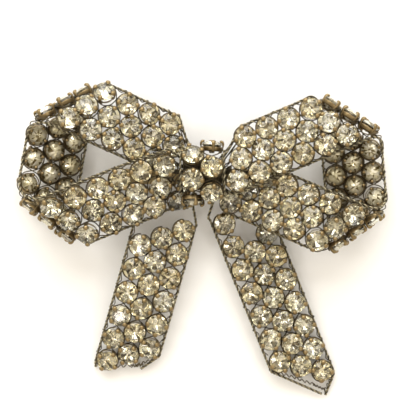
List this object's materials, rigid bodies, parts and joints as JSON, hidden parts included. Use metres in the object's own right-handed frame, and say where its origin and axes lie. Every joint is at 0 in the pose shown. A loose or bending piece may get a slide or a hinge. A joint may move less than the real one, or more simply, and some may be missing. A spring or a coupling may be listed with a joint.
{
  "type": "rhinestone bow brooch",
  "caption": "Openwork bow brooch of folded stone-set wire ribbon with two loops, a knot and two tails, on a bar pin with a turning safety catch.",
  "frame": {"origin": "bottom centre of the bounding box; the brooch lies face up on its pin side", "axes": "+X along the bow's width towards the catch, +Y up as it is worn, +Z out of the front"},
  "size_m": [0.0882, 0.0748, 0.0164],
  "materials": {
    "cup": "aged, dull in the recesses and rubbed bright on the claw tips",
    "stone": "clear cut glass with a faint smoky yellow tint",
    "wire": "twisted two-strand wire, dark with tarnish",
    "core": "wrapped binding wire, tarnished",
    "pin_brass": "aged, lightly scratched",
    "steel": "drawn wire, slightly dulled"
  },
  "bodies": {
    "brooch": {"bar_lashing_left": "wire", "bar_lashing_right": "wire", "catch_barrel": "pin_brass", "hinge_bracket": "pin_brass", "hinge_rivet": "steel", "knot_core": "core", "knot_left_edge_wire": "wire", "knot_left_row": "cup", "knot_left_stone_1": "stone", "knot_left_stone_2": "stone", "knot_left_stone_3": "stone", "knot_right_edge_wire": "wire", "knot_right_row": "cup", "knot_right_stone_1": "stone", "knot_right_stone_2": "stone", "knot_right_stone_3": "stone", "left_loop_back_leg_inner_row": "cup", "left_loop_back_leg_middle_row": "cup", "left_loop_back_leg_outer_row": "cup", "left_loop_front_leg_inner_row": "cup", "left_loop_front_leg_middle_row": "cup", "left_loop_front_leg_outer_row": "cup", "left_loop_inner_edge_wire": "wire", "left_loop_outer_edge_wire": "wire", "left_loop_turn_inner_row": "cup", "left_loop_turn_middle_row": "cup", "left_loop_turn_outer_row": "cup", "left_tail_inner_edge_wire": "wire", "left_tail_inner_row": "cup", "left_tail_middle_row": "cup", "left_tail_outer_edge_wire": "wire", "left_tail_outer_row": "cup", "pin_bar": "pin_brass", "right_loop_back_leg_inner_row": "cup", "right_loop_back_leg_middle_row": "cup", "right_loop_back_leg_outer_row": "cup", "right_loop_front_leg_inner_row": "cup", "right_loop_front_leg_middle_row": "cup", "right_loop_front_leg_outer_row": "cup", "right_loop_inner_edge_wire": "wire", "right_loop_outer_edge_wire": "wire", "right_loop_turn_inner_row": "cup", "right_loop_turn_middle_row": "cup", "right_loop_turn_outer_row": "cup", "right_tail_inner_edge_wire": "wire", "right_tail_inner_row": "cup", "right_tail_middle_row": "cup", "right_tail_outer_edge_wire": "wire", "right_tail_outer_row": "cup"},
    "stem": {"pin_stem": "steel"},
    "lock": {"catch_lock": "steel"}
  },
  "joints": [
    {"name": "pin_hinge", "type": "hinge", "parent": "brooch", "child": "stem", "pos_m": [-0.01798, 0.01526, 0.0023], "axis": [0, 1, 0], "range_deg": [0, 100]},
    {"name": "catch_turn", "type": "hinge", "parent": "brooch", "child": "lock", "pos_m": [0.01822, 0.01526, 0.0023], "axis": [1, 0, 0], "range_deg": [0, 80]}
  ]
}
